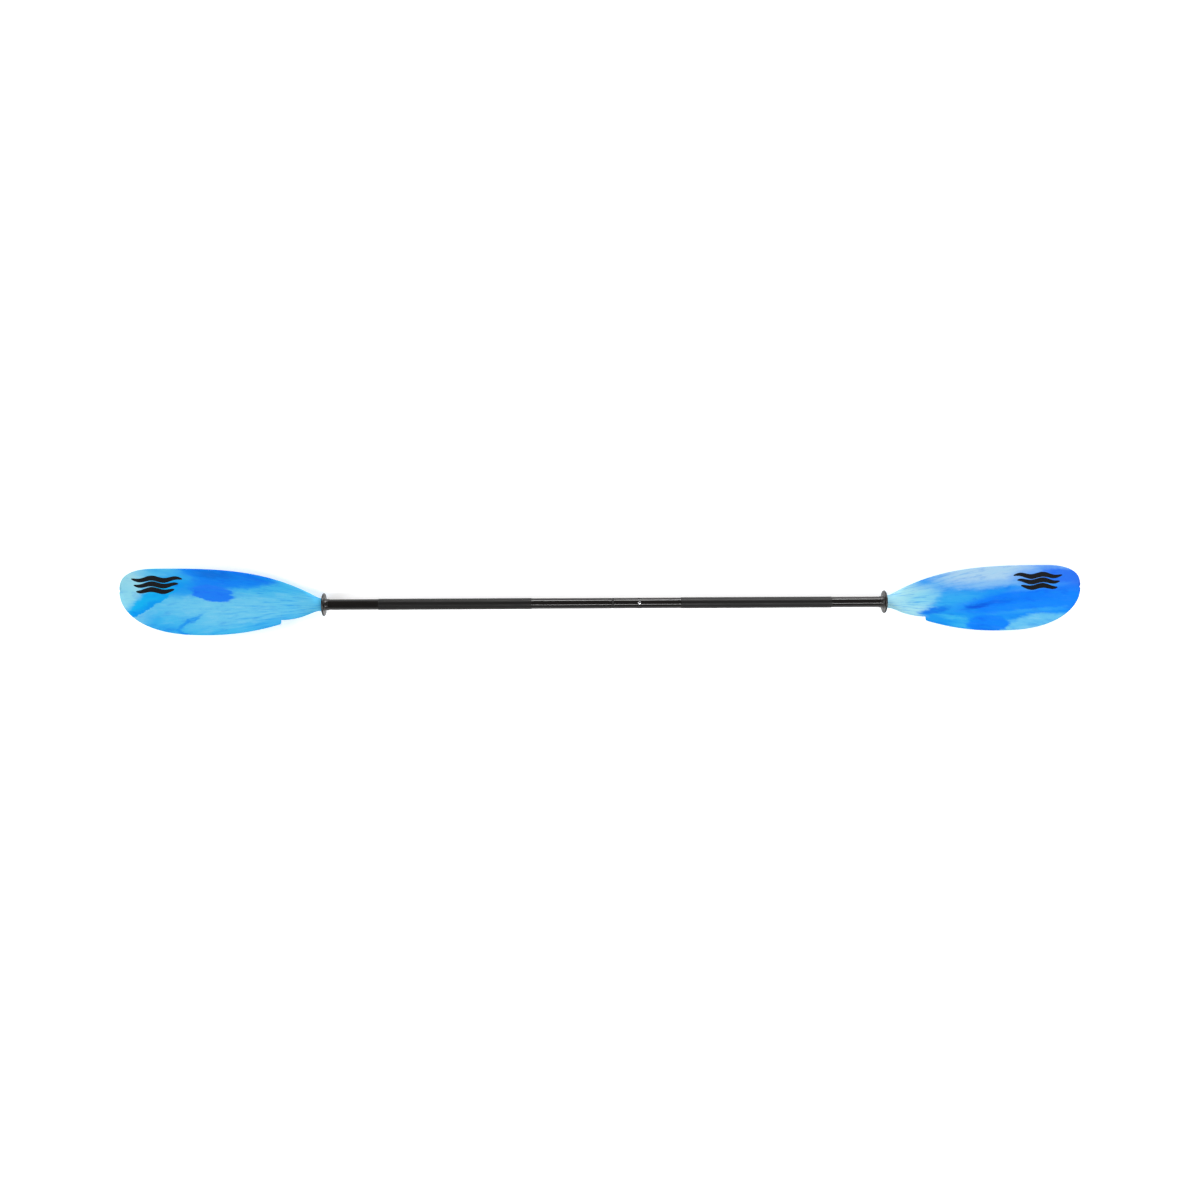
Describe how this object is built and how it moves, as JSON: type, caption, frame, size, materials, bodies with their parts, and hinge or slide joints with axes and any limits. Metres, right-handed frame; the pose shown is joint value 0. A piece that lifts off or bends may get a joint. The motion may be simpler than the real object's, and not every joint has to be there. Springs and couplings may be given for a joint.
{
  "type": "kayak paddle",
  "caption": "Two-piece kayak paddle: blue blades, black shaft tubes with grip sleeves and drip rings, joined by a ferrule with a snap button.",
  "frame": {"origin": "on the shaft's axis, midway between the two blade tips", "axes": "+X along the shaft to the half that holds the button holes, +Y towards the longer edges of the blades, +Z out of the blades' power faces"},
  "size_m": [2.5, 0.1725, 0.06],
  "materials": {
    "blade_left": null,
    "blade_right": null,
    "shaft": "semi-gloss black fibre-reinforced tube",
    "grip": "matt black sleeve",
    "drip_rubber": "dark grey rubber",
    "foam": "closed-cell foam",
    "ferrule": "smooth dark grey tube",
    "plug": "moulded plug",
    "steel": "bright spring steel",
    "washer": "black rubber"
  },
  "bodies": {
    "left_half": {"left_blade": "blade_left", "left_shaft": "shaft", "left_grip": "grip", "left_float_plug": "foam", "ferrule": "ferrule", "ferrule_plug": "plug", "snap_spring": "steel"},
    "left_drip_ring": {"left_drip_ring": "drip_rubber"},
    "snap_button": {"snap_button": "steel"},
    "joint_ring": {"joint_ring": "washer"},
    "right_half": {"right_blade": "blade_right", "right_shaft": "shaft", "right_grip": "grip", "right_float_plug": "foam"},
    "right_drip_ring": {"right_drip_ring": "drip_rubber"}
  },
  "joints": [
    {"name": "left_ring_slide", "type": "slide", "parent": "left_half", "child": "left_drip_ring", "axis": [1, 0, 0], "range_m": [0, 0.128]},
    {"name": "right_ring_slide", "type": "slide", "parent": "right_half", "child": "right_drip_ring", "axis": [-1, 0, 0], "range_m": [0, 0.128]},
    {"name": "button_press", "type": "slide", "parent": "left_half", "child": "snap_button", "axis": [0, 0, -1], "range_m": [0, 0.0042], "stiffness_N_per_m": 1500, "springref_m": -0.003, "deforming": ["snap_spring"]},
    {"name": "feather_turn", "type": "hinge", "parent": "left_half", "child": "joint_ring", "pos_m": [0.017, 0, 0], "axis": [1, 0, 0], "range_deg": [-60, 60], "deforming": ["snap_button"]},
    {"name": "halves_part", "type": "slide", "parent": "joint_ring", "child": "right_half", "axis": [1, 0, 0], "range_m": [0, 0.13]}
  ]
}
